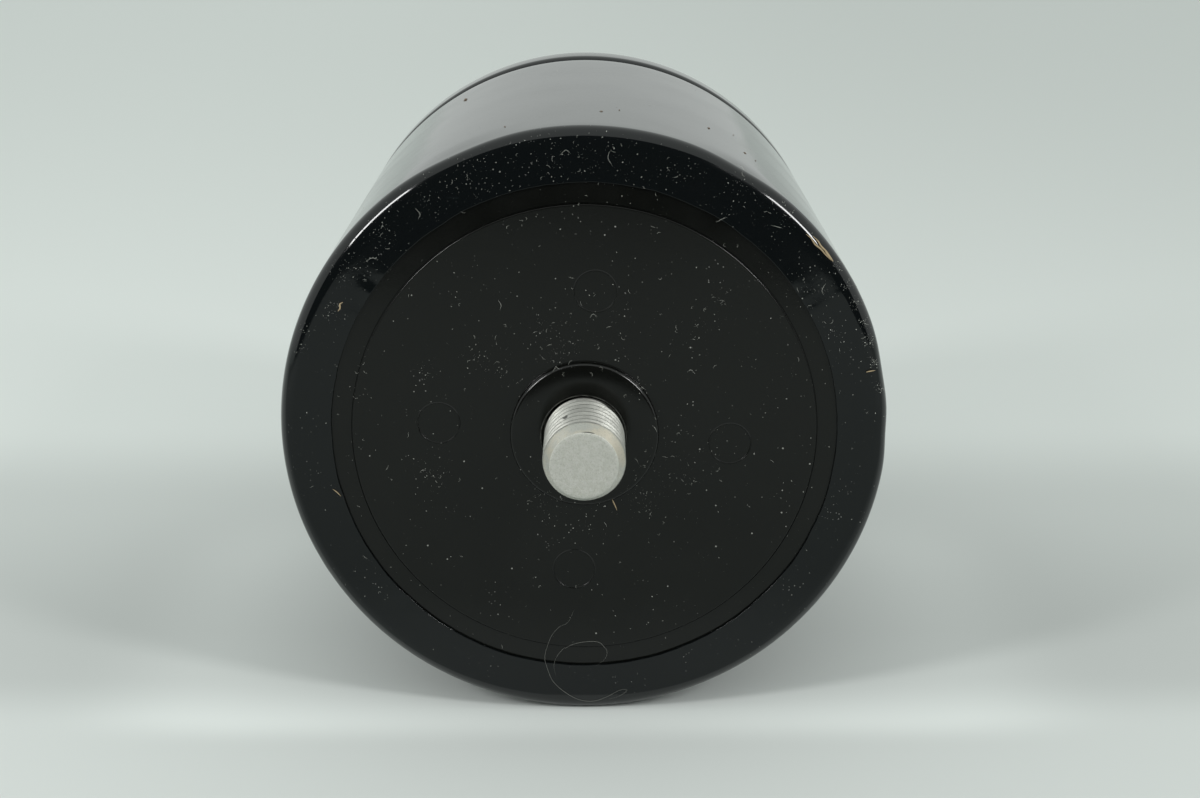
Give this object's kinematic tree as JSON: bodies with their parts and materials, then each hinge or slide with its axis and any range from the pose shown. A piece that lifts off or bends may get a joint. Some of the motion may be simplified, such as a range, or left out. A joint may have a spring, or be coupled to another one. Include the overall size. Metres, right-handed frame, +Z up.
{
  "type": "electrolytic capacitor",
  "caption": "Screw-terminal aluminium electrolytic capacitor, lying on its side: black shrink sleeve, insulating base disc and a threaded mounting stud.",
  "frame": {"origin": "on the stud's axis, in the flat face of the base disc that seats on a chassis", "axes": "+Y from the stud end to the terminals along the can's axis, so the stud points along -Y; +Z up as it lies on its side; the terminals lie along X"},
  "size_m": [0.091, 0.114, 0.091],
  "materials": {
    "can_aluminium": "bare extruded, satin",
    "terminal_aluminium": "turned, satin",
    "rivet_aluminium": "cold headed, satin",
    "tab_foil": "rolled foil",
    "sleeve_pvc": "shrunk, glossy black",
    "disc_plastic": "moulded, semi-matte black",
    "cover_plastic": "moulded, matt dark brown",
    "seal_rubber": "matt black",
    "vent_silicone": "matt brick red",
    "winding_paper": "electrolyte-soaked paper and foil edges",
    "wrap_paper": "kraft paper",
    "closing_tape": "clear tape over paper",
    "pressboard": "pressed board"
  },
  "bodies": {
    "root": {"can": "can_aluminium", "sleeve": "sleeve_pvc", "base_disc": "disc_plastic", "cover_deck": "cover_plastic", "seal_ring": "seal_rubber", "vent_plug": "vent_silicone", "terminal_positive": "terminal_aluminium", "terminal_negative": "terminal_aluminium", "rivet_positive": "rivet_aluminium", "rivet_negative": "rivet_aluminium", "rivet_washer_positive": "rivet_aluminium", "rivet_washer_negative": "rivet_aluminium", "anode_tab_1": "tab_foil", "anode_tab_2": "tab_foil", "anode_tab_3": "tab_foil", "cathode_tab_1": "tab_foil", "cathode_tab_2": "tab_foil", "cathode_tab_3": "tab_foil", "winding": "winding_paper", "winding_wrap": "wrap_paper", "tape_lower": "closing_tape", "tape_upper": "closing_tape", "bottom_insulator": "pressboard", "top_insulator": "pressboard"}
  },
  "joints": []
}
